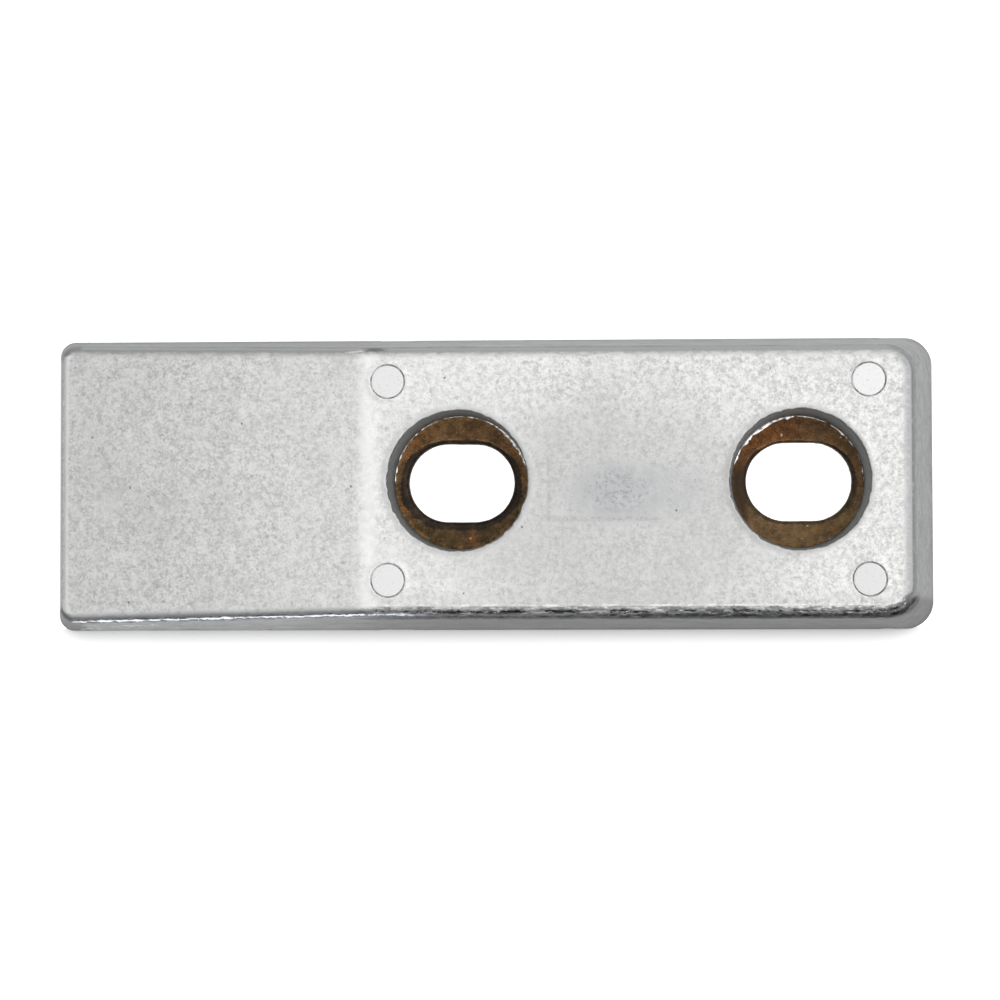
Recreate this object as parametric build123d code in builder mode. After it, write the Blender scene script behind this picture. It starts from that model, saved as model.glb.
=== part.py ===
from build123d import *
import os
from math import cos, radians, tan

os.makedirs("parts", exist_ok=True)

# Sacrificial anode: a drafted cast block with a ramp at one end.  It is bolted down
# through two slots in a steel strap that is cast into it.
# Frame: origin at the centre of the mounting face, +X from the thin toe to the tail,
# +Y across, +Z out of the mounting face.  All sizes are in millimetres.

# --- cast block ---
block_length = 158.0          # at the mounting face
block_width = 52.5            # at the mounting face
block_height = 17.3           # mounting face to plateau
side_draft = 9.0              # degrees, long walls
toe_draft = 10.5              # degrees
tail_draft = 15.5             # degrees
toe_height = 9.9              # where the ramp meets the toe wall
ridge_x = -22.6               # where plateau and ramp would meet without the blend
ridge_blend_radius = 12.0
toe_corner_radius = 2.8
tail_corner_radius = 5.2
edge_radius = 1.85            # plateau and ramp to walls

# --- bolt places, steel strap and slots ---
bolt_pitch = 60.0
bolt_middle_x = 24.3          # halfway between the two bolts
strap_bottom = 5.4            # above the mounting face
strap_thickness = 2.5
strap_overhang = 16.0         # past each bolt's centre
strap_width = 29.0
strap_corner_radius = 3.0
slot_length = 19.0
slot_width = 14.0
slot_rollover = 1.2           # rounded upper edge, as a punch leaves it

# --- pockets in the block, over and under the strap ---
pocket_rim_radius = 12.38     # at the plateau
pocket_draft = 4.3            # degrees
pocket_rim_round = 0.35
relief_mouth_radius = 12.1    # at the mounting face

# --- ejector-pin marks in the plateau ---
pin_mark_radius = 3.0
pin_mark_depth = 0.25
pin_middle_x = 24.2
pin_pitch_x = 84.2
pin_pitch_y = 34.9

# --- worked out from the sizes above ---
half_length = block_length / 2
half_width = block_width / 2
strap_top = strap_bottom + strap_thickness
strap_length = bolt_pitch + 2 * strap_overhang
upward = cos(radians(30))     # a face counts as top if its normal leans less than this


def wall_inset(height, draft):
    """How far a drafted wall has leaned in at a height above the mounting face."""
    return height * tan(radians(draft))


def corner_edges(block):
    """The edges that climb from the mounting face at the block's corners."""
    return block.edges().filter_by(lambda edge: abs(edge.tangent_at(0.5).Z) > 0.5)


def rim_edges(block):
    """The edges round the top of the block, without the two that cross it at the ridge."""
    ridge_middle = Vector(ridge_x, 0, block_height)
    top = block.faces().filter_by(lambda face: face.normal_at().Z > upward)
    return top.edges().filter_by(
        lambda edge: (edge.center() - ridge_middle).length > ridge_blend_radius
    )


# Side view of the block: the level plateau, and the ramp down to the toe.
ridge = (ridge_x, block_height)
with BuildSketch(Plane.XZ) as side_view:
    with BuildLine():
        Polyline(
            (-half_length, 0),
            (half_length, 0),
            (half_length - wall_inset(block_height, tail_draft), block_height),
            ridge,
            (wall_inset(toe_height, toe_draft) - half_length, toe_height),
            close=True,
        )
    make_face()
    fillet(side_view.vertices().sort_by_distance(ridge)[0], ridge_blend_radius)

# End view of the block: the drafted long walls.
top_half_width = half_width - wall_inset(block_height, side_draft)
with BuildSketch(Plane.YZ) as end_view:
    with BuildLine():
        Polyline(
            (-half_width, 0),
            (half_width, 0),
            (top_half_width, block_height),
            (-top_half_width, block_height),
            close=True,
        )
    make_face()

with BuildSketch(Plane.XY.offset(strap_bottom)) as strap_outline:
    with Locations((bolt_middle_x, 0)):
        RectangleRounded(strap_length, strap_width, strap_corner_radius)

# The casting's outer form is what both views share.  Its corners are rounded first, so that
# one edge radius runs right round the top and over the ridge.
with BuildPart() as anode_casting:
    extrude(side_view.sketch, amount=block_width, both=True)
    extrude(end_view.sketch, amount=block_length, both=True, mode=Mode.INTERSECT)
    fillet(corner_edges(anode_casting).group_by(Axis.X)[0], toe_corner_radius)
    fillet(corner_edges(anode_casting).group_by(Axis.X)[-1], tail_corner_radius)
    fillet(rim_edges(anode_casting), edge_radius)

    # Room for the strap, which the alloy holds by its edges.
    extrude(strap_outline.sketch, amount=strap_thickness, mode=Mode.SUBTRACT)

    # Tapered bolt pockets, from the plateau down to the strap.
    with BuildSketch(Plane.XY.offset(block_height)):
        with Locations((bolt_middle_x, 0)):
            with GridLocations(bolt_pitch, 0, 2, 1):
                Circle(pocket_rim_radius)
    extrude(amount=strap_top - block_height, taper=pocket_draft, mode=Mode.SUBTRACT)
    plateau = anode_casting.faces().filter_by(GeomType.PLANE).sort_by(Axis.Z)[-1]
    fillet(plateau.inner_wires().edges(), pocket_rim_round)

    # Relief pockets under the strap, as the cores that held it left them.
    with BuildSketch(Plane.XY):
        with Locations((bolt_middle_x, 0)):
            with GridLocations(bolt_pitch, 0, 2, 1):
                Circle(relief_mouth_radius)
    extrude(amount=strap_bottom, taper=pocket_draft, mode=Mode.SUBTRACT)

    # Shallow marks where the ejector pins pushed the casting out of its die.
    with BuildSketch(Plane.XY.offset(block_height)):
        with Locations((pin_middle_x, 0)):
            with GridLocations(pin_pitch_x, pin_pitch_y, 2, 2):
                Circle(pin_mark_radius)
    extrude(amount=-pin_mark_depth, mode=Mode.SUBTRACT)

# Steel strap: a flat bar with two slots punched from above, their upper edges rolled over.
with BuildPart() as steel_strap:
    extrude(strap_outline.sketch, amount=strap_thickness)
    with BuildSketch(Plane.XY.offset(strap_bottom)):
        with Locations((bolt_middle_x, 0)):
            with GridLocations(bolt_pitch, 0, 2, 1):
                SlotOverall(slot_length, slot_width)
    extrude(amount=strap_thickness, mode=Mode.SUBTRACT)
    fillet(steel_strap.faces().sort_by(Axis.Z)[-1].inner_wires().edges(), slot_rollover)

anode_casting.part.label = "anode_casting"
steel_strap.part.label = "steel_strap"

export_step(anode_casting.part, "parts/anode_casting.step")
export_step(steel_strap.part, "parts/steel_strap.step")
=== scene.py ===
import math
import bpy
import numpy as np
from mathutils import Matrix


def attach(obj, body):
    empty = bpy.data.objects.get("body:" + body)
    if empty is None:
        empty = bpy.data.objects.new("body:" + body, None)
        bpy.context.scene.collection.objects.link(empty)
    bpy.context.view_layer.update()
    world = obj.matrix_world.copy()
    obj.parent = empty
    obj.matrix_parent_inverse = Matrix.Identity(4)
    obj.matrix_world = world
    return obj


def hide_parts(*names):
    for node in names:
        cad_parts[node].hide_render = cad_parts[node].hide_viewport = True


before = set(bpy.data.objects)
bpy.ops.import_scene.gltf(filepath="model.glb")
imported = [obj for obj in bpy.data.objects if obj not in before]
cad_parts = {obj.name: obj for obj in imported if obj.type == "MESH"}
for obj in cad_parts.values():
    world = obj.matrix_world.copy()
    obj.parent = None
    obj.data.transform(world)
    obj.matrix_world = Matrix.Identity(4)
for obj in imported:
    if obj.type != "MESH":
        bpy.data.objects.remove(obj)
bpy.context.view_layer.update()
MM = 0.001      # Blender's metres in one millimetre

# ------------------------------------------------------------------ camera
CAMERA_PLACE = (23.06 * MM, -24.11 * MM, 530.78 * MM)
CAMERA_TURN = (0.040086, 0.041424, -0.002282)
CAMERA_LENS = 105.76
CAMERA_SENSOR = 36.0


def place_camera():
    bpy.ops.object.camera_add(location=CAMERA_PLACE, rotation=CAMERA_TURN)
    camera = bpy.context.object
    camera.data.lens = CAMERA_LENS
    camera.data.sensor_width = CAMERA_SENSOR
    camera.data.clip_start = 10 * MM
    bpy.context.scene.camera = camera


# ------------------------------------------------------- shader shorthand
class Sock:
    """One output socket, so that shader sums read as plain arithmetic."""

    def __init__(self, shop, socket):
        self.shop, self.socket = shop, socket

    def maths(self, operation, *others):
        return self.shop.node("ShaderNodeMath", {"operation": operation},
                              dict(enumerate((self,) + others)))

    def __add__(self, other):
        return self.maths("ADD", other)

    def __sub__(self, other):
        return self.maths("SUBTRACT", other)

    def __rsub__(self, other):
        return self.shop.node("ShaderNodeMath", {"operation": "SUBTRACT"}, {0: other, 1: self})

    def __mul__(self, other):
        return self.maths("MULTIPLY", other)

    def __truediv__(self, other):
        return self.maths("DIVIDE", other)

    def __abs__(self):
        return self.maths("ABSOLUTE")

    __radd__ = __add__
    __rmul__ = __mul__

    def least(self, other):
        """The smaller of two values."""
        return self.maths("MINIMUM", other)

    def most(self, other):
        """The larger of two values."""
        return self.maths("MAXIMUM", other)

    def rise(self, low, high, start=0.0, end=1.0):
        """A smooth step from start at low to end at high, where high may be the smaller number."""
        return self.shop.node("ShaderNodeMapRange", {"interpolation_type": "SMOOTHSTEP"}, {
            "Value": self, "From Min": low, "From Max": high, "To Min": start, "To Max": end})


def reach(along, across):
    """How far off a point is that lies this far along and this far across."""
    return (along * along + across * across).maths("SQRT")


# the Mix node's sockets for colours, by their place in its lists
MIX_FACTOR, MIX_FIRST, MIX_SECOND, MIX_COLOUR = 0, 6, 7, 2


class Shop:
    """A material or a world being made: its node tree and one method that adds nodes."""

    def __init__(self, name, world=None):
        self.material = world or bpy.data.materials.new(name)
        self.material.use_nodes = True
        self.tree = self.material.node_tree
        self.tree.nodes.clear()
        self.out = self.tree.nodes.new("ShaderNodeOutputWorld" if world else "ShaderNodeOutputMaterial")

    def node(self, kind, settings=None, inputs=None, output=0):
        """Adds one node: its settings first, then the values or links of its inputs."""
        made = self.tree.nodes.new(kind)
        for key, value in (settings or {}).items():
            setattr(made, key, value)
        for key, value in (inputs or {}).items():
            if isinstance(value, Sock):
                self.tree.links.new(value.socket, made.inputs[key])
            else:
                made.inputs[key].default_value = value
        return Sock(self, made.outputs[output])

    def place(self):
        """The point's place on the object in millimetres, as a vector and as x, y and z."""
        spot = self.node("ShaderNodeVectorMath", {"operation": "SCALE"}, {
            0: self.node("ShaderNodeTexCoord", None, None, "Object"), "Scale": 1 / MM})
        return (spot, *(self.node("ShaderNodeSeparateXYZ", None, {0: spot}, axis) for axis in "XYZ"))

    def moved(self, spot, stretch, shift):
        """A place stretched along each axis and then shifted."""
        return self.node("ShaderNodeMapping", None, {"Vector": spot, "Location": shift, "Scale": stretch})

    def noise(self, spot, scale, detail=3.0, roughness=0.55, stretch=(1, 1, 1), shift=(0, 0, 0)):
        """Cloudy noise about 0.5 whose lumps are about 1 / scale millimetres."""
        return self.node("ShaderNodeTexNoise", None, {
            "Vector": self.moved(spot, stretch, shift), "Scale": scale, "Detail": detail,
            "Roughness": roughness})

    def cells(self, spot, scale, output="Distance", stretch=(1, 1, 1), shift=(0, 0, 0)):
        """Distance to the nearest of many points about 1 / scale millimetres apart, or its colour."""
        return self.node("ShaderNodeTexVoronoi", None, {
            "Vector": self.moved(spot, stretch, shift), "Scale": scale}, output)

    def part(self, colour, channel):
        """One channel of a colour as a number."""
        return self.node("ShaderNodeSeparateColor", None, {0: colour}, channel)

    def mix(self, share, first, second):
        """A colour between two colours, where a share of 1 is all the second."""
        first, second = ((*one, 1.0) if isinstance(one, tuple) else one for one in (first, second))
        inputs = {MIX_FACTOR: share, MIX_FIRST: first, MIX_SECOND: second}
        return self.node("ShaderNodeMix", {"data_type": "RGBA"}, inputs, MIX_COLOUR)

    def finish(self, shader):
        """Links the shader to the surface and gives back the finished material."""
        self.tree.links.new(shader.socket, self.out.inputs["Surface"])
        return self.material


# ----------------------------------------------------------------- stage
FLOOR_SIZE = 3.0                        # metres
FLOOR_DROP = 0.02                       # under the mounting face
BASE_HALF_X, BASE_HALF_Y = 78.5, 25.8   # the floor inside this is under the block
PAPER = (0.82, 0.82, 0.82, 1)
PAPER_GLOW, GLOW_UNDER_BLOCK, GLOW_IN_METAL = 0.63, 0.4, 0.42
CONTACT_REACH, CONTACT_DEPTH = 4.5, 1.38


def make_floor():
    """White paper, with the block's contact shadow along its lower side."""
    bpy.ops.mesh.primitive_plane_add(size=FLOOR_SIZE, location=(0, 0, -FLOOR_DROP * MM))
    floor = bpy.context.object
    floor.name = "floor"
    shop = Shop("white_paper")
    paper = shop.node("ShaderNodeBsdfDiffuse", None, {"Color": PAPER})
    camera_ray = shop.node("ShaderNodeLightPath", None, None, "Is Camera Ray")
    glossy_ray = shop.node("ShaderNodeLightPath", None, None, "Is Glossy Ray")
    _, x, y, _ = shop.place()
    under = abs(x).maths("LESS_THAN", BASE_HALF_X) * abs(y).maths("LESS_THAN", BASE_HALF_Y)
    open_air = shop.node("ShaderNodeAmbientOcclusion", {"samples": 8},
                         {"Distance": CONTACT_REACH * MM}, "AO")
    contact = (1 - open_air) * y.rise(-25.5, -26.2) * (1 - under)
    seen = PAPER_GLOW + under * GLOW_UNDER_BLOCK - contact * CONTACT_DEPTH
    mirrored = GLOW_IN_METAL + y.rise(0, -26) * x.rise(-30, 0, 0.04, -0.06)
    glow = shop.node("ShaderNodeEmission", None, {
        "Color": (1, 1, 1, 1), "Strength": camera_ray * seen + glossy_ray * mirrored})
    floor.data.materials.append(shop.finish(
        shop.node("ShaderNodeAddShader", None, {0: paper, 1: glow})))


ROOM_LEVEL, ROOM_TAIL_SIDE = 1.025, 0.70


def light_stage():
    """A room of soft light from above, stronger from the tail's side, with nothing but white to see."""
    world = bpy.data.worlds.new("room")
    bpy.context.scene.world = world
    shop = Shop("room", world)
    way = shop.node("ShaderNodeTexCoord", None, None, "Generated")
    x, y, z = (shop.node("ShaderNodeSeparateXYZ", None, {0: way}, axis) for axis in "XYZ")
    height = y * 0.3 + z * 0.9
    lit = height.rise(-0.10, 0.45, 0.12, 1.0)
    camera_ray = shop.node("ShaderNodeLightPath", None, None, "Is Camera Ray")
    level = lit * (ROOM_LEVEL + x * ROOM_TAIL_SIDE)
    strength = camera_ray + (1.0 - camera_ray) * level
    shop.finish(shop.node("ShaderNodeBackground", None, {"Color": (1, 1, 1, 1), "Strength": strength}))


# ------------------------------------------------------- bench operations
def bench(piece):
    """Puts one piece on the bench: nothing else is selected."""
    if bpy.context.mode != "OBJECT":
        bpy.ops.object.mode_set(mode="OBJECT")
    bpy.ops.object.select_all(action="DESELECT")
    piece.select_set(True)
    bpy.context.view_layer.objects.active = piece


def points_of(mesh):
    """The mesh's points in millimetres, one row each."""
    flat = np.empty(len(mesh.vertices) * 3, np.float32)
    mesh.vertices.foreach_get("co", flat)
    return flat.reshape(-1, 3) / MM


def pick(piece, what, rule, open_only=False):
    """Selects the faces, edges or points whose middle passes the rule, in millimetres, and counts them.
    An edge's rule also gets its rise. open_only keeps the edges that carry one face or none."""
    if bpy.context.mode != "OBJECT":
        bpy.ops.object.mode_set(mode="OBJECT")
    mesh = piece.data
    points = points_of(mesh)
    for parts in (mesh.vertices, mesh.edges, mesh.polygons):
        parts.foreach_set("select", np.zeros(len(parts), bool))
    if what == "VERT":
        parts, chosen = mesh.vertices, rule(*points.T)
    elif what == "EDGE":
        parts = mesh.edges
        ends = np.empty(len(parts) * 2, np.int32)
        parts.foreach_get("vertices", ends)
        ends = points[ends.reshape(-1, 2)]
        rise = np.abs(ends[:, 0, 2] - ends[:, 1, 2])
        chosen = rule(*ends.mean(1).T, rise)
        if open_only:
            used = np.empty(len(mesh.loops), np.int32)
            mesh.loops.foreach_get("edge_index", used)
            chosen &= np.bincount(used, minlength=len(parts)) < 2
    else:
        parts = mesh.polygons
        middles = np.empty(len(parts) * 3, np.float32)
        parts.foreach_get("center", middles)
        chosen = rule(*(middles.reshape(-1, 3) / MM).T)
    parts.foreach_set("select", np.ascontiguousarray(chosen, bool))
    bpy.context.tool_settings.mesh_select_mode = (what == "VERT", what == "EDGE", what == "FACE")
    bpy.ops.object.mode_set(mode="EDIT")
    return int(chosen.sum())


def press(piece, kind, **settings):
    """Adds a modifier and applies it."""
    bench(piece)
    modifier = piece.modifiers.new(kind.lower(), kind)
    for key, value in settings.items():
        setattr(modifier, key, value)
    bpy.ops.object.modifier_apply(modifier=modifier.name)


WEIGHT_STEPS = 40


def weigh(piece, name, weight_of):
    """A vertex group whose weights come from the points' places."""
    bench(piece)
    group = piece.vertex_groups.new(name=name)
    weights = np.clip(weight_of(*points_of(piece.data).T), 0, 1)
    steps = np.round(weights * WEIGHT_STEPS).astype(int)
    for step in np.unique(steps):
        if step:
            group.add(np.flatnonzero(steps == step).tolist(), step / WEIGHT_STEPS, "REPLACE")


def ramp_between(value, low, high):
    """0 below low, 1 above high and smooth between."""
    part = np.clip((value - low) / (high - low), 0, 1)
    return part * part * (3 - 2 * part)


# ---------------------------------------------------------- anode casting
# the top face: a level plateau from the tail to the ridge, and a ramp that widens to the toe
PLATEAU_Z = 17.3
FACE_TOE_X, FACE_TAIL_X, FACE_HALF_Y, TOE_HALF_Y = -75.84, 72.80, 21.93, 23.07
TOE_FACE_CORNER, TAIL_FACE_CORNER = 1.3, 3.6
RAMP_START_X, RAMP_SLOPE, FACE_WIDENING = -22.6, 0.1356, 0.0215
CELL = 0.45                                         # the top face's mesh

# strips of mesh down the edge and then the wall: drop, spread along x and y, and cuts
EDGE_DROP, EDGE_SPREAD, EDGE_CUTS = 2.6, (1.024, 1.08), 7
WALL_SPREAD, WALL_SPREAD_X, WALL_CUTS = (1.0434, 1.125), -36.1, 22
BASE_SHEET, BASE_CELLS, BASE_DROP = (153.0, 48.6), (126, 40), 0.6

# bolt pockets, toe side first, and pin marks
BOLT_X = (-5.7, 54.3)
HALF_PITCH = (BOLT_X[1] - BOLT_X[0]) / 2
POCKET_CUT, POCKET_RING, POCKET_RADIUS, POCKET_DRAFT = 14.2, 12.78, 12.31, 4.3
FOOT_RADIUS, FOOT_SHIFT = (11.86, 11.64), (0.30, 0.05)
RELIEF_RADIUS, RELIEF_CUT = 12.1, 13.4              # at the mounting face
PIN_X, PIN_Y = (-17.9, 66.3), (-17.45, 17.45)
PIN_CUT, PIN_RING = 4.0, 3.3

# the lathe's (radius, height) for a pocket's rounded rim and a pin mark's groove and disc
RIM_STEPS = [(12.60, 17.3), (12.48, 17.28), (12.40, 17.22), (12.34, 17.13), (POCKET_RADIUS, 16.99)]
GROOVE_STEPS = [(3.12, 17.29), (3.06, 17.20), (3.01, 17.08), (2.96, 17.05), (2.91, 17.08),
                (2.86, 17.15), (2.78, 17.19)]
DISC_STEPS = [(radius, 17.2) for radius in (2.5, 2.1, 1.7, 1.3, 0.9, 0.5, 0.2)]

# the steel bar and its slots
STRAP_TOP, STRAP_BOTTOM = 7.9, 5.4
STRAP_MIDDLE_X, STRAP_LENGTH, STRAP_WIDTH, STRAP_CORNER = 24.3, 92.0, 29.0, 3
SLOT_RADIUS, SLOT_REACH, SLOT_SHIFT, SLOT_ROLL = 6.82, 2.43, 0.30, 1.1
STRAP_CELL = 0.34                                   # its mesh


def round_opening(piece, x, y, height, cut_radius, ring_radius, cuts):
    """Takes cells out of a flat sheet round a centre and bridges the gap to a true circle."""
    def within(radius, px, py, pz):
        return (np.hypot(px - x, py - y) < radius) & (np.abs(pz - height) < 1)

    def cut_edge(px, py, pz, rise):
        return within(cut_radius + 0.4, px, py, pz)

    def round_about(px, py, pz):
        return within(cut_radius + 1.6, px, py, pz) & (np.hypot(px - x, py - y) > ring_radius + 0.05)

    pick(piece, "FACE", lambda px, py, pz: within(cut_radius, px, py, pz))
    bpy.ops.mesh.delete(type="FACE")
    count = pick(piece, "EDGE", cut_edge, open_only=True)
    bpy.ops.mesh.select_all(action="DESELECT")
    bpy.ops.mesh.primitive_circle_add(vertices=count, radius=ring_radius * MM,
                                      location=(x * MM, y * MM, (height - 0.6) * MM))
    pick(piece, "EDGE", cut_edge, open_only=True)
    bpy.ops.mesh.bridge_edge_loops(number_cuts=cuts, interpolation="LINEAR")
    pick(piece, "VERT", round_about)
    bpy.ops.mesh.vertices_smooth(factor=0.5, repeat=8)


def turn_down(x, y, radius, height, steps):
    """Extrudes the selected ring through a list of (radius, height), as on a lathe.
    A third number says how far along x that ring's centre lies off the axis."""
    off_axis = 0.0
    for next_radius, next_height, *lean in steps:
        shift = sum(lean) - off_axis
        bpy.ops.mesh.extrude_edges_move(
            TRANSFORM_OT_translate={"value": (shift * MM, 0, (next_height - height) * MM)})
        off_axis += shift
        ratio = next_radius / radius
        bpy.ops.transform.resize(value=(ratio, ratio, 1),
                                 center_override=((x + off_axis) * MM, y * MM, 0))
        radius, height = next_radius, next_height


def top_height(x):
    """The height of the top face over x: the level plateau and the ramp down to the toe."""
    return PLATEAU_Z - np.maximum(RAMP_START_X - x, 0) * RAMP_SLOPE


def model_casting():
    """The cast block: a fine sheet for the top face, with walls, pockets and underside grown from it."""
    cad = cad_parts["anode_casting"]
    bpy.ops.object.select_all(action="DESELECT")
    length, middle = FACE_TAIL_X - FACE_TOE_X, (FACE_TAIL_X + FACE_TOE_X) / 2
    across, along = round(2 * FACE_HALF_Y / CELL), round(length / CELL)
    bpy.ops.mesh.primitive_grid_add(x_subdivisions=along, y_subdivisions=across, size=1,
                                    location=(middle * MM, 0, PLATEAU_Z * MM))
    casting = bpy.context.object
    casting.name = "cast_body"
    bpy.ops.object.mode_set(mode="EDIT")
    bpy.ops.transform.resize(value=(length * MM, 2 * FACE_HALF_Y * MM, 1))
    bpy.ops.object.mode_set(mode="OBJECT")
    bpy.ops.object.transform_apply(location=True, rotation=True, scale=True)

    for x in BOLT_X:
        round_opening(casting, x, 0, PLATEAU_Z, POCKET_CUT, POCKET_RING, 2)
    for x in PIN_X:
        for y in PIN_Y:
            round_opening(casting, x, y, PLATEAU_Z, PIN_CUT, PIN_RING, 1)

    # the ramp's face is wider at the toe
    pick(casting, "VERT", lambda x, y, z: x < FACE_TOE_X + 0.05)
    bpy.ops.transform.resize(value=(1, TOE_HALF_Y / FACE_HALF_Y, 1), center_override=(0, 0, 0),
                             use_proportional_edit=True, proportional_edit_falloff="LINEAR",
                             proportional_size=(RAMP_START_X - FACE_TOE_X) * MM)
    bench(casting)
    bpy.ops.object.mode_set(mode="EDIT")
    bpy.ops.mesh.select_all(action="SELECT")
    bpy.ops.transform.translate(value=(0, 0, 1 * MM))
    press(casting, "SHRINKWRAP", target=cad, wrap_method="PROJECT", use_project_z=True,
          use_positive_direction=False, use_negative_direction=True)

    # edge and drafted walls
    def outer(x, y, z, rise):
        return (np.abs(y) > 21) | (x < FACE_TOE_X + 0.3) | (x > FACE_TAIL_X - 0.3)

    pick(casting, "EDGE", outer, open_only=True)
    bpy.ops.mesh.extrude_edges_move(TRANSFORM_OT_translate={"value": (0, 0, -EDGE_DROP * MM)})
    bpy.ops.transform.resize(value=(*EDGE_SPREAD, 1), center_override=(0, 0, 0))
    bpy.ops.mesh.extrude_edges_move(TRANSFORM_OT_translate={"value": (0, 0, 0)})
    bpy.ops.transform.resize(value=(*WALL_SPREAD, 0), center_override=(WALL_SPREAD_X * MM, 0, 0))
    pick(casting, "EDGE", lambda x, y, z, rise: (rise > 1.5) & (rise < 4))
    bpy.ops.mesh.subdivide(number_cuts=EDGE_CUTS)
    pick(casting, "EDGE", lambda x, y, z, rise: rise > 4)
    bpy.ops.mesh.subdivide(number_cuts=WALL_CUTS)
    press(casting, "SHRINKWRAP", target=cad, wrap_method="NEAREST_SURFACEPOINT")

    # smaller cells where the lower edge is rough
    pick(casting, "FACE", lambda x, y, z: (y < -21.4) & (z > top_height(x) - 4.4))
    bpy.ops.mesh.subdivide(number_cuts=1)
    press(casting, "SHRINKWRAP", target=cad, wrap_method="NEAREST_SURFACEPOINT")

    # pockets: rounded rim, drafted wall, and the relief under the strap
    depth, draft = PLATEAU_Z - STRAP_TOP, math.tan(math.radians(POCKET_DRAFT))
    relief = [(RELIEF_RADIUS - z * draft, z) for z in np.linspace(STRAP_BOTTOM, 0, 6)]
    for x, foot, shift in zip(BOLT_X, FOOT_RADIUS, FOOT_SHIFT):
        wall = [(POCKET_RADIUS - (POCKET_RADIUS - foot) * part, PLATEAU_Z - depth * part, shift * part)
                for part in np.linspace(0.085, 1, 16)]
        pick(casting, "EDGE", lambda px, py, pz, rise: np.hypot(px - x, py) < 13, open_only=True)
        turn_down(x, 0, POCKET_RING, PLATEAU_Z, RIM_STEPS + wall + relief)

    # pin marks: a fine groove round a shallow disc
    for x in PIN_X:
        for y in PIN_Y:
            pick(casting, "EDGE", lambda px, py, pz, rise: np.hypot(px - x, py - y) < 3.4, open_only=True)
            turn_down(x, y, PIN_RING, PLATEAU_Z, GROOVE_STEPS + DISC_STEPS)
            bpy.ops.mesh.merge(type="CENTER")

    # underside: a sheet with the two relief mouths, joined to the walls and reliefs and then lifted
    bench(casting)
    bpy.ops.object.mode_set(mode="EDIT")
    bpy.ops.mesh.select_all(action="DESELECT")
    bpy.ops.mesh.primitive_grid_add(x_subdivisions=BASE_CELLS[0], y_subdivisions=BASE_CELLS[1], size=1,
                                    location=(0, 0, -BASE_DROP * MM))
    bpy.ops.transform.resize(value=(BASE_SHEET[0] * MM, BASE_SHEET[1] * MM, 1), center_override=(0, 0, 0))
    for x in BOLT_X:
        pick(casting, "FACE", lambda px, py, pz: (pz < -0.3) & (np.hypot(px - x, py) < RELIEF_CUT))
        bpy.ops.mesh.delete(type="FACE")
    for x in BOLT_X:
        pick(casting, "EDGE", lambda px, py, pz, rise: (pz < 0.1) & (np.hypot(px - x, py) < 15),
             open_only=True)
        bpy.ops.mesh.bridge_edge_loops()
    pick(casting, "EDGE", lambda px, py, pz, rise: pz < 0.1, open_only=True)
    bpy.ops.mesh.bridge_edge_loops()
    pick(casting, "VERT", lambda px, py, pz: pz < -0.3)
    bpy.ops.transform.translate(value=(0, 0, BASE_DROP * MM))
    bpy.ops.mesh.select_all(action="SELECT")
    bpy.ops.mesh.remove_doubles(threshold=0.002 * MM)
    bpy.ops.mesh.normals_make_consistent(inside=False)
    roughen(casting)
    bench(casting)
    return casting


def pattern(name, kind, lump, **settings):
    """A relief pattern whose lumps are about that many millimetres."""
    made = bpy.data.textures.new(name, kind)
    made.noise_scale = lump * MM
    for key, value in settings.items():
        setattr(made, key, value)
    return made


def emboss(piece, group, texture, height, level=1.0, direction="NORMAL"):
    """Presses a pattern into the points of a group; at level 1 it only goes inwards."""
    press(piece, "DISPLACE", texture=texture, texture_coords="LOCAL", vertex_group=group,
          strength=height * MM, mid_level=level, direction=direction)


def bolt_distance(x, y):
    """How far a point lies from the nearer bolt's axis."""
    return np.minimum(*(np.hypot(x - middle, y) for middle in BOLT_X))


def pin_distance(x, y):
    """How far a point lies from the nearest pin mark's centre."""
    return np.hypot(np.minimum(*(np.abs(x - middle) for middle in PIN_X)), np.abs(y) - PIN_Y[1])


def past_face(x, y):
    """How far a point lies outside the top face's outline, seen from above."""
    half_y = FACE_HALF_Y + np.maximum(RAMP_START_X - x, 0) * FACE_WIDENING
    corner = np.where(x > 0, TAIL_FACE_CORNER, TOE_FACE_CORNER)
    past_x = np.maximum(x - FACE_TAIL_X, FACE_TOE_X - x) + corner
    past_y = np.abs(y) - half_y + corner
    return (np.hypot(np.maximum(past_x, 0), np.maximum(past_y, 0))
            + np.minimum(np.maximum(past_x, past_y), 0) - corner)


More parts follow.
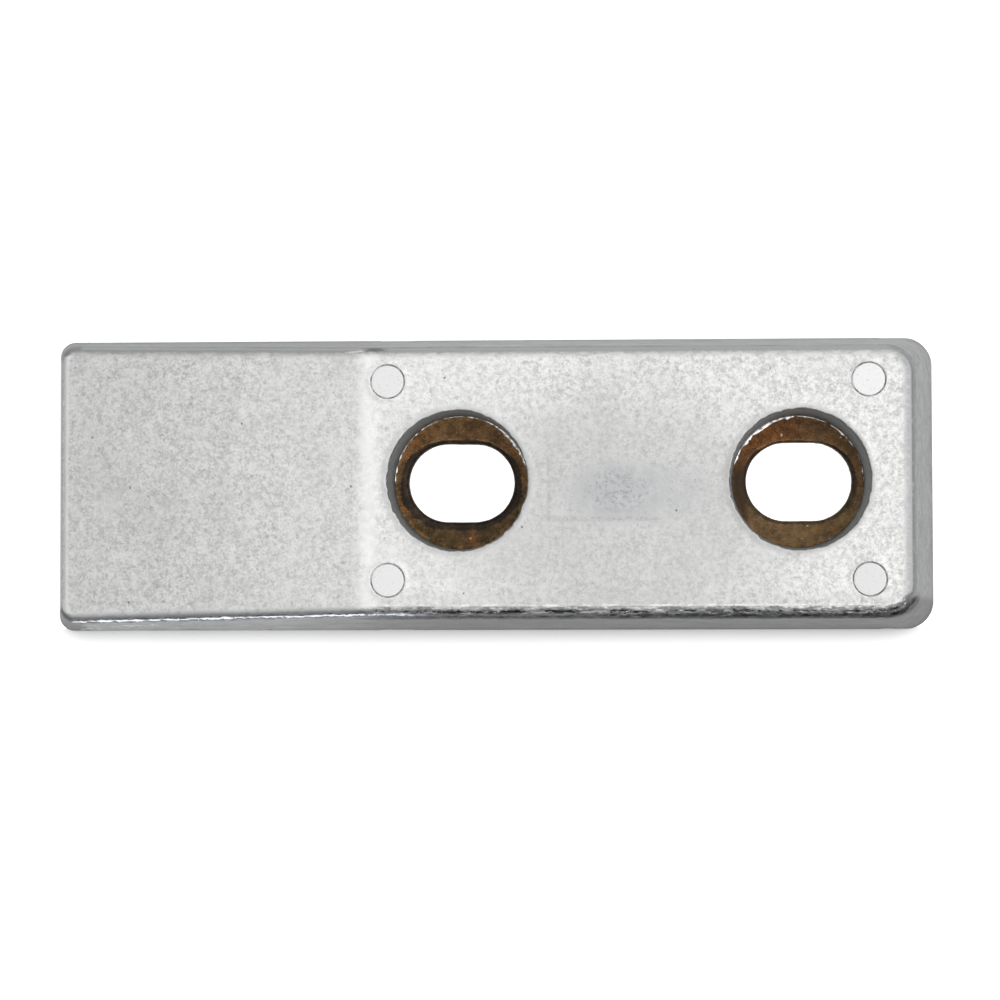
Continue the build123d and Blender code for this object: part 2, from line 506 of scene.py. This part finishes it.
def roughen(casting):
    """The relief a permanent-mould casting has: slow waves, a pebbled skin and a torn lower edge."""
    def skin(x, y, z):
        return (ramp_between(z, 0.3, 1.6) * ramp_between(bolt_distance(x, y), 12.8, 13.6)
                * ramp_between(pin_distance(x, y), 3.3, 3.9))

    def torn_edge(x, y, z):
        depth = top_height(x) - z
        band = ramp_between(past_face(x, y), 0.10, 0.50) * ramp_between(-depth, -5.4, -3.2)
        return (band * ramp_between(-y, 20.0, 21.2)
                * ramp_between(x, RAMP_START_X - 1, RAMP_START_X + 5)
                * (0.45 + 0.55 * ramp_between(x, 5, 35)))

    def seam(x, y, z):
        """The thin line of flash left along the ramp's lower edge."""
        past = past_face(x, y)
        return (ramp_between(past, 1.15, 1.5) * ramp_between(-past, -1.95, -1.6)
                * ramp_between(-y, 20, 21.2) * ramp_between(-x, -RAMP_START_X - 3, -RAMP_START_X)
                * ramp_between(x, -75.5, -74) * (z > 5))

    def pocket(x, y, z):
        far = bolt_distance(x, y)
        return ramp_between(z, STRAP_TOP, STRAP_TOP + 0.8) * ramp_between(-far, -12.62, -12.5)

    def rims(x, y, z):
        far = bolt_distance(x, y)
        return ramp_between(far, 12.2, 12.32) * ramp_between(-far, -12.78, -12.62) * (z > 16.4)

    def grooves(x, y, z):
        far = pin_distance(x, y)
        return ramp_between(far, 2.8, 2.9) * ramp_between(-far, -3.05, -2.98) * ramp_between(z, 16, 17)

    for weight_of in (skin, torn_edge, seam, pocket, rims, grooves):
        weigh(casting, weight_of.__name__, weight_of)
    emboss(casting, "skin", pattern("waves", "CLOUDS", 7.0, noise_depth=2), 0.14)
    emboss(casting, "skin", pattern("pebbles", "CLOUDS", 1.4, noise_depth=1), 0.07)
    emboss(casting, "torn_edge", pattern("folds", "VORONOI", 2.3, weight_1=-1.0, weight_2=1.0,
                                         noise_intensity=1.3), 0.50)
    emboss(casting, "torn_edge", pattern("tears", "CLOUDS", 1.5, noise_depth=2,
                                         noise_type="HARD_NOISE"), 0.5, 0.6)
    emboss(casting, "seam", pattern("seam_line", "CLOUDS", 1.6, noise_depth=2), 0.26, 0.12)
    emboss(casting, "pocket", pattern("scallops", "CLOUDS", 0.8, noise_depth=2), 0.20, 0.5)
    emboss(casting, "rims", pattern("rim_chips", "CLOUDS", 1.3, noise_depth=2), 0.34, 0.5)
    emboss(casting, "grooves", pattern("broken_groove", "CLOUDS", 1.3, noise_depth=2), 0.22, 1.0, "Z")
    # nothing stands above the plateau
    pick(casting, "VERT", lambda x, y, z: z > PLATEAU_Z)
    bpy.ops.transform.resize(value=(1, 1, 0), center_override=(0, 0, PLATEAU_Z * MM))


# a fin's section as (radius, height), for a pocket whose wall ends at FIN_FOOT
FIN_FOOT, FIN_OUTER, FIN_BOTTOM, FIN_TOP = 11.60, 11.95, 7.7, 8.15
FIN_SECTION = [(11.87, 8.12), (11.68, FIN_TOP), (11.57, 8.12), (11.51, 8.02), (11.49, 7.86),
               (11.49, FIN_BOTTOM)]


def model_flash(x, foot, name, thick_from, thick_to, thick_by):
    """A thin torn fin of alloy round the foot of a pocket wall, lying on the strap.
    It is thicker by thick_by between two angles."""
    grow = foot - FIN_FOOT
    bpy.ops.object.select_all(action="DESELECT")
    bpy.ops.mesh.primitive_circle_add(vertices=420, radius=(FIN_OUTER + grow) * MM,
                                      location=(x * MM, 0, FIN_BOTTOM * MM))
    fin = bpy.context.object
    fin.name = name
    bpy.ops.object.transform_apply(location=True, rotation=True, scale=True)
    pick(fin, "EDGE", lambda px, py, pz, rise: pz > 0)
    turn_down(x, 0, FIN_OUTER + grow, FIN_BOTTOM,
              [(radius + grow, height) for radius, height in FIN_SECTION])
    bpy.ops.mesh.select_all(action="DESELECT")
    pick(fin, "EDGE", lambda px, py, pz, rise: pz < 7.75, open_only=True)
    bpy.ops.mesh.bridge_edge_loops()
    # the lower half of the fin hardly shows
    pick(fin, "VERT", lambda px, py, pz: (np.hypot(px - x, py) < 11.7 + grow) & (py < 0))
    bpy.ops.transform.resize(value=(1.012, 1.012, 1), center_override=(x * MM, 0, 0))

    def inner(px, py, pz):
        return ramp_between(-np.hypot(px - x, py) + grow, -11.80, -11.6)

    def thick(px, py, pz):
        angle = np.degrees(np.arctan2(py, px - x)) % 360
        angle = np.where(angle < thick_from - 40, angle + 360, angle)
        return inner(px, py, pz) * ramp_between(angle, thick_from - 10, thick_from + 14) * ramp_between(
            -angle, -thick_to - 10, -thick_to + 14)

    pick(fin, "FACE", lambda px, py, pz: pz > 0)
    bpy.ops.mesh.normals_make_consistent(inside=False)
    bench(fin)
    weigh(fin, "inner", inner)
    weigh(fin, "thick", thick)
    emboss(fin, "inner", pattern(name + "_tears", "CLOUDS", 1.3, noise_depth=2), 0.56, 0.5)
    emboss(fin, "thick", None, thick_by * 0.3, 0.0)
    emboss(fin, "thick", pattern(name + "_lumps", "CLOUDS", 1.6, noise_depth=3), thick_by * 0.7, 0.0)
    pick(fin, "VERT", lambda px, py, pz: pz > FIN_TOP)
    bpy.ops.transform.resize(value=(1, 1, 0.3), center_override=(0, 0, FIN_TOP * MM))
    return fin


STRAP_MIDDLE_Z = (STRAP_TOP + STRAP_BOTTOM) / 2


def model_strap():
    """The cast-in steel bar: sawn plate, two punched slots with rolled edges, rusted all over."""
    bpy.ops.object.select_all(action="DESELECT")
    bpy.ops.mesh.primitive_cube_add(size=1, location=(STRAP_MIDDLE_X * MM, 0, STRAP_MIDDLE_Z * MM))
    strap = bpy.context.object
    strap.name = "strap_bar"
    bpy.ops.object.mode_set(mode="EDIT")
    bpy.ops.transform.resize(value=(STRAP_LENGTH * MM, STRAP_WIDTH * MM, (STRAP_TOP - STRAP_BOTTOM) * MM))
    bpy.ops.object.mode_set(mode="OBJECT")
    bpy.ops.object.transform_apply(location=True, rotation=True, scale=True)
    pick(strap, "EDGE", lambda x, y, z, rise: rise > 2)
    bpy.ops.mesh.bevel(offset=STRAP_CORNER * MM, segments=8)
    slots = [x + SLOT_SHIFT for x in BOLT_X]
    for x in slots:
        bench(strap)
        punch = model_punch(x)
        press(strap, "BOOLEAN", operation="DIFFERENCE", solver="EXACT", object=punch)
        bench(punch)
        bpy.ops.object.delete()
    bench(strap)

    def slot_edge(x, y, z, rise):
        along = np.minimum(*(np.abs(x - middle) for middle in slots))
        past = np.hypot(np.maximum(along - SLOT_REACH, 0), y) - SLOT_RADIUS
        return (np.abs(past) < 0.2) & (z > STRAP_TOP - 0.1) & (rise < 0.1)

    pick(strap, "EDGE", slot_edge)
    bpy.ops.mesh.bevel(offset=SLOT_ROLL * MM, segments=6)
    press(strap, "REMESH", mode="VOXEL", voxel_size=STRAP_CELL * MM)
    weigh(strap, "rusted", lambda x, y, z: np.ones_like(x))
    emboss(strap, "rusted", pattern("rust_waves", "CLOUDS", 4.0, noise_depth=2), 0.16)
    emboss(strap, "rusted", pattern("rust_scale", "CLOUDS", 0.9, noise_depth=2), 0.10)
    return strap


def model_punch(x):
    """The obround punch that a slot is cut with."""
    bpy.ops.object.select_all(action="DESELECT")
    bpy.ops.mesh.primitive_cylinder_add(vertices=96, radius=SLOT_RADIUS * MM, depth=8 * MM,
                                        location=(x * MM, 0, STRAP_MIDDLE_Z * MM))
    punch = bpy.context.object
    punch.name = "slot_punch"
    bpy.ops.object.transform_apply(location=True, rotation=True, scale=True)
    for side in (-1, 1):
        pick(punch, "VERT", lambda px, py, pz: (px - x) * side > 0.05)
        bpy.ops.transform.translate(value=(side * SLOT_REACH * MM, 0, 0))
    bench(punch)
    return punch


SLUG_X, SLUG_Y = 25.3, -1.3     # where the die carried its slug
FOLD_X, NICK_X = -23.6, -20.2   # marks by the ridge on the upper edge


def cast_alloy():
    """Frosted casting skin on top, bare drawn walls, a torn lower edge and a flash line, with painted
    light, shade and highlights on walls, edges and hollows.
    """
    shop = Shop("cast_alloy")
    spot, x, y, z = shop.place()

    # where on the casting
    run = (RAMP_START_X - x).most(0.0)
    depth = PLATEAU_Z - run * RAMP_SLOPE - z
    corner = x.rise(-10, 10, TOE_FACE_CORNER, TAIL_FACE_CORNER)
    past_x = (x - FACE_TAIL_X).most(FACE_TOE_X - x) + corner
    past_y = abs(y) - FACE_HALF_Y - run * FACE_WIDENING + corner
    past = reach(past_x.most(0.0), past_y.most(0.0)) + past_x.most(past_y).least(0.0) - corner
    bolt_x = abs(x - sum(BOLT_X) / 2) - HALF_PITCH
    bolt_far = reach(bolt_x, y)
    pin_x = abs(x - sum(PIN_X) / 2) - (PIN_X[1] - PIN_X[0]) / 2
    pin_far = reach(pin_x, abs(y) - PIN_Y[1])
    disc = pin_far.rise(2.99, 2.92) * depth.rise(1.0, 0.8)
    lower_side = y.rise(-20.0, -21.4)
    on_plateau = x.rise(RAMP_START_X - 1.5, RAMP_START_X + 2.5)

    # patterns, from coarse to fine
    drift = shop.noise(spot, 0.07, 2.0)
    cloud = shop.noise(spot, 0.28, 4.0, 0.6, shift=(7, 3, 1))
    blotch = shop.noise(spot, 0.95, 4.0, 0.62, shift=(2, 6, 3))
    fleck = shop.noise(spot, 2.2, 3.0, 0.6, shift=(1, 9, 4))
    grain = shop.noise(spot, 5.0, 2.0, 0.6, shift=(5, 2, 8))
    streak = shop.noise(spot, 1.0, 3.0, 0.6, stretch=(0.10, 1.0, 1.6))
    in_pocket = (bolt_far + (blotch - 0.5) * 0.5).rise(12.62, 12.46) * depth.rise(-0.02, 0.10)
    spot_size = shop.part(shop.cells(spot, 0.62, "Color"), "Green")
    dark_spot = shop.cells(spot, 0.62) - spot_size * 0.22 + (fleck - 0.5) * 0.9
    dark_spot = dark_spot.rise(0.12, -0.04) * spot_size.rise(0.25, 0.5)
    pit_cell = shop.cells(spot, 0.30, shift=(4, 4, 4))
    pit_pick = shop.part(shop.cells(spot, 0.30, "Color", shift=(4, 4, 4)), "Red")
    pit = (pit_cell + (grain - 0.5) * 0.06).rise(0.085, 0.04) * pit_pick.rise(0.78, 0.82) * (1 - disc)

    # bare metal on the walls, with painted light and shade: shade on the plateau's lower wall and the
    # ramp's upper wall, light on the ramp's lower wall, a highlight where it turns over the edge and a
    # dark line along the tail's edge
    tone = (streak * 0.5 + fleck * 0.25 + cloud * 0.25).rise(0.40, 0.60)
    bare = shop.mix(tone, (0.160, 0.164, 0.166), (0.275, 0.278, 0.278))
    toe = x.rise(-74.4, -75.5) * abs(y).rise(23.5, 22.6)
    shade = x.rise(-42, -14)
    # painted shade on the plateau's lower wall
    bare = shop.mix(lower_side * shade * 0.75, bare,
                    shop.mix(tone, (0.080, 0.080, 0.078), (0.124, 0.124, 0.120)))
    # painted light on the ramp's lower wall
    bare = shop.mix(lower_side * (1 - shade) * 0.45, bare,
                    shop.mix(tone, (0.23, 0.235, 0.25), (0.39, 0.395, 0.41)))
    # painted shade on the ramp's upper wall
    upper_ramp_shade = y.rise(20, 21) * (1 - on_plateau) * past.rise(1.2, 1.6)
    bare = shop.mix(upper_ramp_shade * 0.35, bare, (0.11, 0.112, 0.115))
    # painted highlight where the wall turns over the edge
    bare = shop.mix(past.rise(1.75, 1.15) * (1 - toe), bare, (0.36, 0.365, 0.37))
    # painted dark line of shade along the tail's edge
    tail_edge_shade = x.rise(69, 72) * past.rise(0.75, 1.0) * past.rise(1.55, 1.25)
    bare = shop.mix(tail_edge_shade * streak.rise(0.3, 0.5) * 0.6, bare, (0.17, 0.175, 0.18))

    # frosted casting skin on the top faces
    mottle = (blotch * 0.40 + fleck * 0.40 + grain * 0.20).rise(0.38, 0.60)
    skin = shop.mix(mottle, (0.565, 0.565, 0.552), (0.93, 0.93, 0.925))
    skin = shop.mix(cloud.rise(0.45, 0.70) * 0.42, skin, (0.96, 0.96, 0.95))
    skin = shop.mix(drift.rise(0.55, 0.35) * 0.2, skin, (0.66, 0.66, 0.66))
    # painted shade and light on the top face: darker towards the toe, lighter about the ridge
    skin = shop.mix(x.rise(-36, -70) * 0.22, skin, (0.62, 0.62, 0.615))
    skin = shop.mix(x.rise(-58, -26) * x.rise(16, -4) * 0.25, skin, (0.98, 0.98, 0.975))
    skin = shop.mix(dark_spot * 0.30, skin, (0.36, 0.355, 0.33))
    # darker in the middle of the plateau
    darker_middle = reach((x - 22) / 34, (y + 6) / 24).rise(1.2, 0.5) * on_plateau
    skin = shop.mix(darker_middle * 0.50, skin, (0.52, 0.52, 0.515))
    # painted highlight on the skin along the toe's edge
    skin = shop.mix(toe * past.rise(-0.5, 0.2) * 0.8, skin, (1.0, 1.0, 1.0))
    # painted shade round the pocket rims' rounded edge, mottled
    halo = bolt_far.rise(13.7, 12.5) * (blotch * 0.6 + fleck * 0.4).rise(0.38, 0.58)
    skin = shop.mix(halo * 0.55, skin, (0.34, 0.34, 0.335))
    # painted shade on the skin towards the plateau's lower edge
    skin = shop.mix(y.rise(-18.5, -20.8) * on_plateau * 0.20, skin, (0.52, 0.52, 0.515))

    # how far the skin laps over the edge, with a thin line of painted shade on the toe's wall and two
    # corners at the toe painted dark as shade
    lap = toe * 0.72 - x.rise(70.5, 72.5) * 0.42 - y.rise(19, 21) * 0.10
    lap = lap + lower_side * (0.20 + on_plateau * 0.12)
    ragged = (blotch - 0.5) * 0.9 + (fleck - 0.5) * 0.7 + (grain - 0.5) * 0.4
    frost = (past - lap + ragged).rise(1.02, -0.42) * (1 - in_pocket)
    colour = shop.mix(frost, bare, skin)
    toe_line = toe * (past + (fleck - 0.5) * 0.4).rise(0.78, 1.02)
    colour = shop.mix(toe_line * 0.9, colour, (0.38, 0.385, 0.395))
    at_corner = (y.rise(-21.6, -22.8) * 0.90).most(y.rise(21.6, 22.8) * 0.45)
    corner_shade = x.rise(-73.1, -73.7) * past.rise(0.60, 1.20) * at_corner
    colour = shop.mix(corner_shade, colour, (0.13, 0.134, 0.14))

    # tarnish and scuffs where the die carried its slug
    slug_x, slug_y = x - SLUG_X, y - SLUG_Y
    outline = abs(slug_x + 14.9).rise(0.7, 0.1) * abs(slug_y).rise(6.2, 4.6)
    outline = outline.most(abs(slug_y + 5.5).rise(0.7, 0.1) * abs(slug_x + 5).rise(12, 8))
    smear = reach(slug_x / 15, (slug_y + 0.6) / 6.2).rise(1.15, 0.45)
    smudge = reach((slug_x + 3.0) / 8.0, (slug_y + 0.6) / 5.2).rise(1.25, 0.2)
    colour = shop.mix(smear * blotch.rise(0.34, 0.66) * 0.46, colour, (0.47, 0.485, 0.52))
    stain = smudge * (blotch * 0.5 + fleck * 0.5).rise(0.42, 0.62)
    colour = shop.mix(stain * 0.50, colour, (0.30, 0.305, 0.335))
    stain = smudge * (fleck * 0.6 + grain * 0.4).rise(0.54, 0.63)
    colour = shop.mix(stain * 0.50, colour, (0.15, 0.155, 0.17))
    outline = outline * (fleck * 0.7 + grain * 0.3).rise(0.46, 0.58)
    colour = shop.mix(outline * 0.40, colour, (0.26, 0.265, 0.28))

    # painted highlights: white dashes along the lower edge's lip and a bright band along the ridge
    threads = shop.noise(spot, 1.5, 3.0, 0.62, stretch=(0.30, 1, 1), shift=(8, 1, 3))
    lip_highlight = (past + ragged * 0.3).rise(-0.35, -0.05) * (past + ragged * 0.5).rise(0.68, 0.40)
    lip_highlight = lip_highlight * (1 - in_pocket)
    lip_highlight = lip_highlight * (on_plateau * lower_side).most(y.rise(19.5, 20.5) * 0.32).most(0.15)
    colour = shop.mix(lip_highlight * threads.rise(0.46, 0.58) * 0.75, colour, (0.99, 0.99, 0.98))
    # painted highlight along the ridge
    ridge = abs(x + (cloud - 0.5) * 5 - (RAMP_START_X + 1.2)).rise(2.8, 0.4) * frost
    colour = shop.mix(ridge * 0.6, colour, (0.99, 0.99, 0.98))

    # torn band along the plateau's lower edge: grey folds above, black hollows below; its dark rough
    # colour is partly its own and partly painted shade, the hollows' black is painted shade and the
    # bright bits are painted glints
    folds = shop.noise(spot, 0.62, 3.0, 0.70, stretch=(0.6, 1.1, 1.1), shift=(3, 3, 3))
    warped = shop.node("ShaderNodeVectorMath", {"operation": "MULTIPLY_ADD"}, {
        0: shop.node("ShaderNodeTexNoise", None, {"Vector": spot, "Scale": 0.9, "Detail": 2.0}, "Color"),
        1: (1.6, 1.6, 1.6), 2: spot})
    facet = shop.part(shop.cells(warped, 0.80, "Color", (0.5, 1.1, 1.1)), "Red")
    torn = (facet - 0.5) * 0.64 + (folds - 0.5) * 1.4 + (threads - 0.5) * 0.5
    wander = (shop.noise(spot, 0.38, 3.0, 0.62, shift=(2, 2, 9)) - 0.5) * 2.3
    band = (past + wander + (facet - 0.5) * 0.4).rise(0.40, 0.66) * (past + wander * 0.4).rise(2.52, 2.30)
    band = band * lower_side * x.rise(RAMP_START_X - 3, RAMP_START_X + 3)
    share = (past.rise(2.05, 0.40) + torn).most(0.0)
    band_tone_and_shade = shop.mix((share * share).least(1.0), (0.030, 0.032, 0.037), (0.42, 0.42, 0.425))
    blob = shop.noise(warped, 0.62, 1.5, 0.5, stretch=(0.5, 1.2, 1.2), shift=(6, 5, 2))
    hollow_shade = (past + wander * 0.5).rise(0.70, 1.0) * past.rise(2.35, 2.05) * blob.rise(0.495, 0.54)
    sparkle = threads * 0.7 + grain * 0.3
    band_tone_and_shade = shop.mix(hollow_shade * 0.95, band_tone_and_shade, (0.002, 0.003, 0.004))
    painted_glint = past.rise(0.3, 0.5) * past.rise(1.7, 1.1) * sparkle.rise(0.57, 0.62)
    band_tone_and_shade = shop.mix(painted_glint * 0.8, band_tone_and_shade, (0.88, 0.88, 0.89))
    colour = shop.mix(band * 0.96, colour, band_tone_and_shade)

    # flash line along the ramp's lower edge, painted as a bright highlight between two dark bluish
    # painted reflections, with a pale bluish painted reflection beside it
    on_line = lower_side * x.rise(-75.4, -74.6) * x.rise(-9.0, -19.0)
    thread = past + (shop.noise(spot, 1.15, 3.0, 0.62, stretch=(0.6, 0.6, 0.6)) - 0.5) * 0.80
    gaps = (folds + x.rise(-26, -16) * -0.10).rise(0.36, 0.44)
    above = thread.rise(1.12, 1.24) * thread.rise(1.50, 1.40) * threads.rise(0.46, 0.56)
    below = thread.rise(1.60, 1.68) * thread.rise(2.02, 1.82)
    wide = (blotch - 0.5) * 0.7
    seam_highlight = (thread + wide).rise(1.36, 1.44) * (thread - wide * 0.5).rise(1.73, 1.64) * on_line
    beside = on_line * past.rise(0.9, 1.15) * past.rise(2.2, 1.9)
    colour = shop.mix(beside * 0.5, colour, (0.36, 0.385, 0.44))
    colour = shop.mix((above * 0.62).most(below * 0.9) * on_line, colour, (0.045, 0.055, 0.085))
    colour = shop.mix(seam_highlight * gaps, colour, (0.96, 0.975, 1.0))
    specks = on_line * past.rise(2.1, 2.3) * past.rise(3.3, 3.0) * sparkle.rise(0.58, 0.63)
    colour = shop.mix(specks * x.rise(-50, -60, 0.4, 1.0) * 0.9, colour, (0.95, 0.95, 0.97))

    # a pale fold and a dark nick by the ridge on the upper edge, and dark flecks on the lower wall
    upper_edge = y.rise(20, 21)
    fold_x = x - FOLD_X
    crease = abs(past - 0.80 - fold_x * 0.13).rise(0.26, 0.06) * abs(fold_x).rise(2.3, 1.1) * upper_edge
    colour = shop.mix(crease * threads.rise(0.42, 0.55) * 0.6, colour, (0.88, 0.88, 0.88))
    nick = abs(x - NICK_X + wander).rise(2.8, 0.8) * upper_edge
    nick = nick * (past + (fleck - 0.5)).rise(0.75, 0.95) * past.rise(1.65, 1.4)
    colour = shop.mix(nick * 0.7, colour, (0.08, 0.08, 0.085))
    scuff = lower_side * past.rise(2.2, 2.4) * x.rise(-50, -40) * x.rise(5, -5)
    scuff = scuff * (threads * 0.8 + grain * 0.2).rise(0.595, 0.64)
    colour = shop.mix(scuff * 0.6, colour, (0.05, 0.05, 0.055))

    # pocket walls, with painted shade towards their foot and painted light on their upper side and by the
    # tail; pin marks, their grooves painted dark as shade; pits
    wall = shop.mix((streak * 0.5 + fleck * 0.5).rise(0.35, 0.65),
                    (0.20, 0.208, 0.205), (0.33, 0.338, 0.335))
    wall = shop.mix(z.rise(10.5, 8.4) * blotch.rise(0.30, 0.6) * 0.45, wall, (0.09, 0.09, 0.09))
    wall = shop.mix((y.rise(0, 9) * 0.22).most(x.rise(60, 64) * 0.16), wall, (0.50, 0.51, 0.51))
    colour = shop.mix(in_pocket, colour, wall)
    face = shop.mix(grain.rise(0.35, 0.65), (0.82, 0.82, 0.82), (0.90, 0.90, 0.90))
    dull = fleck.rise(0.60, 0.70) * 0.35 + x.rise(20, 60) * y.rise(5, -5) * 0.25
    face = shop.mix(dull, face, (0.50, 0.50, 0.505))
    colour = shop.mix(disc, colour, face)
    groove = pin_far.rise(2.86, 2.93) * pin_far.rise(3.07, 3.0) * depth.rise(1.0, 0.8)
    groove = groove * (blotch * 0.6 + cloud * 0.4).rise(0.40, 0.58)
    colour = shop.mix(groove * 0.62, colour, (0.12, 0.12, 0.12))
    colour = shop.mix(pit * 0.75, colour, (0.16, 0.155, 0.15))

    roughness = 0.50 - disc * 0.08 - (1 - frost) * 0.10 + in_pocket * 0.22
    roughness = roughness + (fleck - 0.5) * 0.2 - seam_highlight * 0.2
    height = (fleck - 0.5) * (0.5 - disc * 0.4) + (grain - 0.5) * 0.35
    height = height - pit - dark_spot * 0.25 + seam_highlight
    bump = shop.node("ShaderNodeBump", None, {"Strength": 0.40, "Distance": 0.06 * MM, "Height": height})
    # less metallic in the toe's corners that are painted dark as shade
    return shop.finish(shop.node("ShaderNodeBsdfPrincipled", None, {
        "Base Color": colour, "Metallic": 1 - corner_shade * 0.9, "Roughness": roughness, "Normal": bump,
        "Specular IOR Level": 0.2}))


def bright_flash():
    """Bright torn alloy, painted grey as shade in its hollows."""
    shop = Shop("torn_alloy")
    spot, *_ = shop.place()
    fleck = shop.noise(spot, 1.2, 3.0, 0.6)
    colour = shop.mix(fleck.rise(0.38, 0.52), (0.34, 0.34, 0.33), (0.97, 0.97, 0.96))
    bump = shop.node("ShaderNodeBump", None, {"Strength": 0.25, "Distance": 0.05 * MM, "Height": fleck})
    return shop.finish(shop.node("ShaderNodeBsdfPrincipled", None, {
        "Base Color": colour, "Metallic": 1.0, "Roughness": 0.34, "Normal": bump}))


def rusty_steel():
    """Brown and orange rust, with painted shade on the rolled edges of the slots."""
    shop = Shop("rusty_steel")
    spot, x, y, _ = shop.place()
    slot_x = abs(x - STRAP_MIDDLE_X - SLOT_SHIFT) - HALF_PITCH
    from_slot = reach((abs(slot_x) - SLOT_REACH).most(0.0), y) - SLOT_RADIUS
    bolt_far = reach(abs(x - STRAP_MIDDLE_X) - HALF_PITCH, y)
    tail_side = x.rise(20, 28)
    cloud = shop.noise(spot, 0.35, 4.0, 0.6)
    upper = (y + (cloud - 0.5) * 14).rise(-7, 8)
    fleck = shop.noise(spot, 1.2, 4.0, 0.65, shift=(4, 1, 6))
    grain = shop.noise(spot, 4.5, 2.0, 0.6)

    # brown scale: darker by the toe slot, redder along the upper edges
    browner = x.rise(51, 58)
    reddish_deep = shop.mix(browner, (0.074, 0.029, 0.008), (0.068, 0.036, 0.014))
    reddish_pale = shop.mix(browner, (0.290, 0.108, 0.026), (0.225, 0.120, 0.046))
    deep = shop.mix(tail_side, shop.mix(upper, (0.050, 0.029, 0.010), (0.080, 0.042, 0.014)),
                    shop.mix(upper, (0.115, 0.070, 0.028), reddish_deep))
    pale = shop.mix(tail_side, shop.mix(upper, (0.185, 0.108, 0.040), (0.270, 0.142, 0.052)),
                    shop.mix(upper, (0.330, 0.200, 0.085), reddish_pale))
    rust = shop.mix((fleck * 0.38 + cloud * 0.34 + grain * 0.28).rise(0.38, 0.62), deep, pale)
    orange = shop.noise(spot, 0.25, 3.0, 0.6, shift=(9, 2, 2)) + upper * tail_side * x.rise(56, 48) * 0.12
    rust = shop.mix(orange.rise(0.52, 0.66) * fleck.rise(0.35, 0.6) * 0.8, rust, (0.34, 0.125, 0.028))
    rust = shop.mix((fleck * 0.3 + grain * 0.7).rise(0.58, 0.68) * 0.45, rust, (0.55, 0.35, 0.15))
    speck = shop.cells(spot, 0.5).rise(0.14, 0.07) * fleck.rise(0.50, 0.58)
    rust = shop.mix(speck * upper.most(0.5), rust, (0.90, 0.80, 0.62))

    # the rolled edge of the slots painted dark as shade, darkest at the slot's edge, with a thin tan
    # crest along its top
    width = 1.50 - upper * 0.78 - tail_side * (0.62 - upper * 0.42) + x.rise(-5, 3, 0.12, -0.08)
    width = width + abs(slot_x).rise(5.0, 8.0) * abs(y).rise(8, 3) * 0.42
    waver = ((cloud - 0.5) * 0.9 + (fleck - 0.5) * 0.5) * upper.rise(1.0, 0.0, 0.45, 1.0)
    rolled = from_slot + waver - width
    roll = rolled.rise(0.20, -0.20)
    dark = shop.mix((fleck * 0.6 + cloud * 0.4).rise(0.42, 0.66),
                    (0.022, 0.012, 0.005), (0.070, 0.046, 0.026))
    dark = shop.mix(from_slot.rise(0.45, 0.15) * 0.7, dark, (0.012, 0.006, 0.003))
    colour = shop.mix(roll * (1 - tail_side * (1 - upper) * 0.35), rust, dark)
    crest = rolled.rise(0.06, 0.13) * rolled.rise(0.26, 0.18) * y.rise(3, 6)
    crest = crest * (fleck * 0.4 + grain * 0.6).rise(0.42, 0.58)
    colour = shop.mix(crest * 0.7, colour, (0.50, 0.30, 0.13))

    # the tail pocket's dark side towards the toe, and the paler foot of both walls
    toe_side = x.rise(46.4, 44.6) * tail_side * y.rise(7, 1) * y.rise(-10, -7)
    colour = shop.mix(toe_side * (0.62 + fleck * 0.4), colour, (0.036, 0.020, 0.009))
    foot = bolt_far.rise(11.05, 11.3) * fleck.rise(0.42, 0.58) * x.rise(20, -8, 0.3, 1.0)
    colour = shop.mix(foot * 0.45, colour, (0.42, 0.24, 0.10))
    height = (fleck - 0.5) + (grain - 0.5) * 0.4
    bump = shop.node("ShaderNodeBump", None, {"Strength": 0.4, "Distance": 0.1 * MM, "Height": height})
    return shop.finish(shop.node("ShaderNodeBsdfPrincipled", None, {
        "Base Color": colour, "Roughness": 0.50 - roll * 0.12 + (fleck - 0.5) * 0.3, "Normal": bump,
        "Specular IOR Level": 0.2}))


def finish_piece(piece, material, angle):
    """Gives a piece its material, and smooth shading where faces meet at less than the angle."""
    piece.data.materials.append(material)
    bench(piece)
    bpy.ops.object.shade_smooth_by_angle(angle=math.radians(angle))


# pocket, name, and from which angle to which the fin is thicker, in degrees, and by how much
FLASH = ((0, "flash_toe_pocket", 18, 62, 0.45),
         (1, "flash_tail_pocket", 94, 150, 0.55))
SHARP, CAST_SHARP = 50, 38

bpy.ops.object.select_all(action="DESELECT")
place_camera()
make_floor()
light_stage()
casting = model_casting()
alloy = cast_alloy()
rust = rusty_steel()
torn = bright_flash()
for pocket, name, *thick in FLASH:
    fin = model_flash(BOLT_X[pocket] + FOOT_SHIFT[pocket], FOOT_RADIUS[pocket], name, *thick)
    finish_piece(fin, torn, SHARP)
    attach(fin, "root")
strap = model_strap()
finish_piece(strap, rust, SHARP)
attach(strap, "root")
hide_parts("steel_strap")
finish_piece(casting, alloy, CAST_SHARP)
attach(casting, "root")
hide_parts("anode_casting")

bpy.context.scene.view_settings.view_transform = "Standard"
